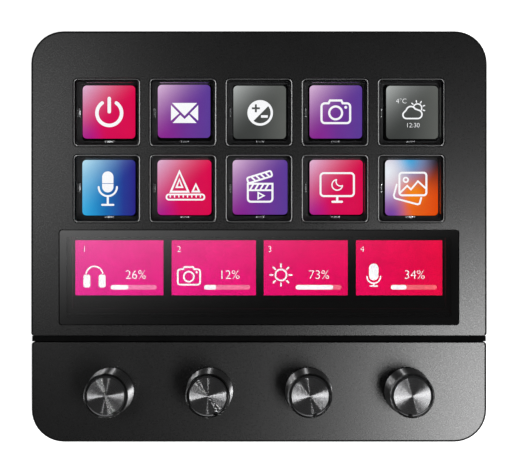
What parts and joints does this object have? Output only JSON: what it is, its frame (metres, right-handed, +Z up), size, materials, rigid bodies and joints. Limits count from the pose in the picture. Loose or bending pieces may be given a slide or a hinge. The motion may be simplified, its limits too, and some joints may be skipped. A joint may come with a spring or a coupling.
{
  "type": "macro keypad with knobs",
  "caption": "Slanted desk keypad: clear keys over one display, a flush touch strip below them and a row of push knobs in front, on an inset wedge stand.",
  "frame": {"origin": "on the desk, under the middle of the part's bounding box", "axes": "+X to the user's right, +Y away from the user, +Z up; the face slants up towards +Y by 20 degrees"},
  "size_m": [0.1296, 0.1156, 0.0612],
  "materials": {
    "cover_plastic": "fine sand texture, charcoal",
    "back_plastic": "fine sand texture, near black",
    "frame_plastic": "smooth, black",
    "dark_glass": "polished, tinted",
    "film": "clear film",
    "foam": "black foam",
    "silicone": "matt black silicone",
    "clip_metal": "bright pressed metal",
    "panel_glass": "black display glass with lit cells",
    "white_plastic": "white moulded plastic",
    "sheet_metal": "pressed sheet",
    "board": "green circuit board",
    "chips": "black packages",
    "ribbon": "white flat cable",
    "grip_rubber": "matt rubber",
    "screw_steel": "zinc plated",
    "case_metal": "pressed case",
    "bushing_brass": "turned brass",
    "shaft_steel": "turned steel",
    "clear_plastic": "clear, polished",
    "knob_plastic": "gloss black",
    "disc_metal": "spun face with a polished bevel"
  },
  "bodies": {
    "chassis": {"deck_cover": "cover_plastic", "knob_cover": "cover_plastic", "mid_frame": "frame_plastic", "back_cover": "back_plastic", "strip_glass": "dark_glass", "touch_film": "film", "display_gasket": "foam", "key_mat": "silicone", "contact_clips": "clip_metal", "display_panel": "panel_glass", "backlight": "white_plastic", "display_tray": "sheet_metal", "main_board": "board", "board_parts": "chips", "usb_socket": "sheet_metal", "knob_board": "board", "ribbon_cable": "ribbon", "push_domes": "clip_metal", "stand": "back_plastic", "stand_plate": "back_plastic", "grip_strips": "grip_rubber", "case_screws": "screw_steel", "stand_screws": "screw_steel", "small_screws": "screw_steel", "encoder_case_1": "case_metal", "bushing_1": "bushing_brass", "encoder_case_2": "case_metal", "bushing_2": "bushing_brass", "encoder_case_3": "case_metal", "bushing_3": "bushing_brass", "encoder_case_4": "case_metal", "bushing_4": "bushing_brass"},
    "key_1": {"key_cap_1": "clear_plastic"},
    "key_2": {"key_cap_2": "clear_plastic"},
    "key_3": {"key_cap_3": "clear_plastic"},
    "key_4": {"key_cap_4": "clear_plastic"},
    "key_5": {"key_cap_5": "clear_plastic"},
    "key_6": {"key_cap_6": "clear_plastic"},
    "key_7": {"key_cap_7": "clear_plastic"},
    "key_8": {"key_cap_8": "clear_plastic"},
    "key_9": {"key_cap_9": "clear_plastic"},
    "key_10": {"key_cap_10": "clear_plastic"},
    "rotor_1": {"detent_wheel_1": "white_plastic"},
    "knob_1": {"shaft_1": "shaft_steel", "knob_body_1": "knob_plastic", "knob_disc_1": "disc_metal"},
    "rotor_2": {"detent_wheel_2": "white_plastic"},
    "knob_2": {"shaft_2": "shaft_steel", "knob_body_2": "knob_plastic", "knob_disc_2": "disc_metal"},
    "rotor_3": {"detent_wheel_3": "white_plastic"},
    "knob_3": {"shaft_3": "shaft_steel", "knob_body_3": "knob_plastic", "knob_disc_3": "disc_metal"},
    "rotor_4": {"detent_wheel_4": "white_plastic"},
    "knob_4": {"shaft_4": "shaft_steel", "knob_body_4": "knob_plastic", "knob_disc_4": "disc_metal"}
  },
  "joints": [
    {"name": "key_1_press", "type": "slide", "parent": "chassis", "child": "key_1", "axis": [0, 0.342, -0.9397], "range_m": [0, 0.0012], "stiffness_N_per_m": 500, "springref_m": -0.0005, "deforming": ["key_mat"]},
    {"name": "key_2_press", "type": "slide", "parent": "chassis", "child": "key_2", "axis": [0, 0.342, -0.9397], "range_m": [0, 0.0012], "stiffness_N_per_m": 500, "springref_m": -0.0005, "deforming": ["key_mat"]},
    {"name": "key_3_press", "type": "slide", "parent": "chassis", "child": "key_3", "axis": [0, 0.342, -0.9397], "range_m": [0, 0.0012], "stiffness_N_per_m": 500, "springref_m": -0.0005, "deforming": ["key_mat"]},
    {"name": "key_4_press", "type": "slide", "parent": "chassis", "child": "key_4", "axis": [0, 0.342, -0.9397], "range_m": [0, 0.0012], "stiffness_N_per_m": 500, "springref_m": -0.0005, "deforming": ["key_mat"]},
    {"name": "key_5_press", "type": "slide", "parent": "chassis", "child": "key_5", "axis": [0, 0.342, -0.9397], "range_m": [0, 0.0012], "stiffness_N_per_m": 500, "springref_m": -0.0005, "deforming": ["key_mat"]},
    {"name": "key_6_press", "type": "slide", "parent": "chassis", "child": "key_6", "axis": [0, 0.342, -0.9397], "range_m": [0, 0.0012], "stiffness_N_per_m": 500, "springref_m": -0.0005, "deforming": ["key_mat"]},
    {"name": "key_7_press", "type": "slide", "parent": "chassis", "child": "key_7", "axis": [0, 0.342, -0.9397], "range_m": [0, 0.0012], "stiffness_N_per_m": 500, "springref_m": -0.0005, "deforming": ["key_mat"]},
    {"name": "key_8_press", "type": "slide", "parent": "chassis", "child": "key_8", "axis": [0, 0.342, -0.9397], "range_m": [0, 0.0012], "stiffness_N_per_m": 500, "springref_m": -0.0005, "deforming": ["key_mat"]},
    {"name": "key_9_press", "type": "slide", "parent": "chassis", "child": "key_9", "axis": [0, 0.342, -0.9397], "range_m": [0, 0.0012], "stiffness_N_per_m": 500, "springref_m": -0.0005, "deforming": ["key_mat"]},
    {"name": "key_10_press", "type": "slide", "parent": "chassis", "child": "key_10", "axis": [0, 0.342, -0.9397], "range_m": [0, 0.0012], "stiffness_N_per_m": 500, "springref_m": -0.0005, "deforming": ["key_mat"]},
    {"name": "knob_1_turn", "type": "hinge", "parent": "chassis", "child": "rotor_1", "pos_m": [-0.042, -0.04426, 0.02655], "axis": [0, -0.342, 0.9397], "continuous": true},
    {"name": "knob_1_push", "type": "slide", "parent": "rotor_1", "child": "knob_1", "axis": [0, 0.342, -0.9397], "range_m": [0, 0.0005], "stiffness_N_per_m": 6000, "springref_m": -0.0002, "deforming": ["push_domes"]},
    {"name": "knob_2_turn", "type": "hinge", "parent": "chassis", "child": "rotor_2", "pos_m": [-0.014, -0.04426, 0.02655], "axis": [0, -0.342, 0.9397], "continuous": true},
    {"name": "knob_2_push", "type": "slide", "parent": "rotor_2", "child": "knob_2", "axis": [0, 0.342, -0.9397], "range_m": [0, 0.0005], "stiffness_N_per_m": 6000, "springref_m": -0.0002, "deforming": ["push_domes"]},
    {"name": "knob_3_turn", "type": "hinge", "parent": "chassis", "child": "rotor_3", "pos_m": [0.014, -0.04426, 0.02655], "axis": [0, -0.342, 0.9397], "continuous": true},
    {"name": "knob_3_push", "type": "slide", "parent": "rotor_3", "child": "knob_3", "axis": [0, 0.342, -0.9397], "range_m": [0, 0.0005], "stiffness_N_per_m": 6000, "springref_m": -0.0002, "deforming": ["push_domes"]},
    {"name": "knob_4_turn", "type": "hinge", "parent": "chassis", "child": "rotor_4", "pos_m": [0.042, -0.04426, 0.02655], "axis": [0, -0.342, 0.9397], "continuous": true},
    {"name": "knob_4_push", "type": "slide", "parent": "rotor_4", "child": "knob_4", "axis": [0, 0.342, -0.9397], "range_m": [0, 0.0005], "stiffness_N_per_m": 6000, "springref_m": -0.0002, "deforming": ["push_domes"]}
  ]
}
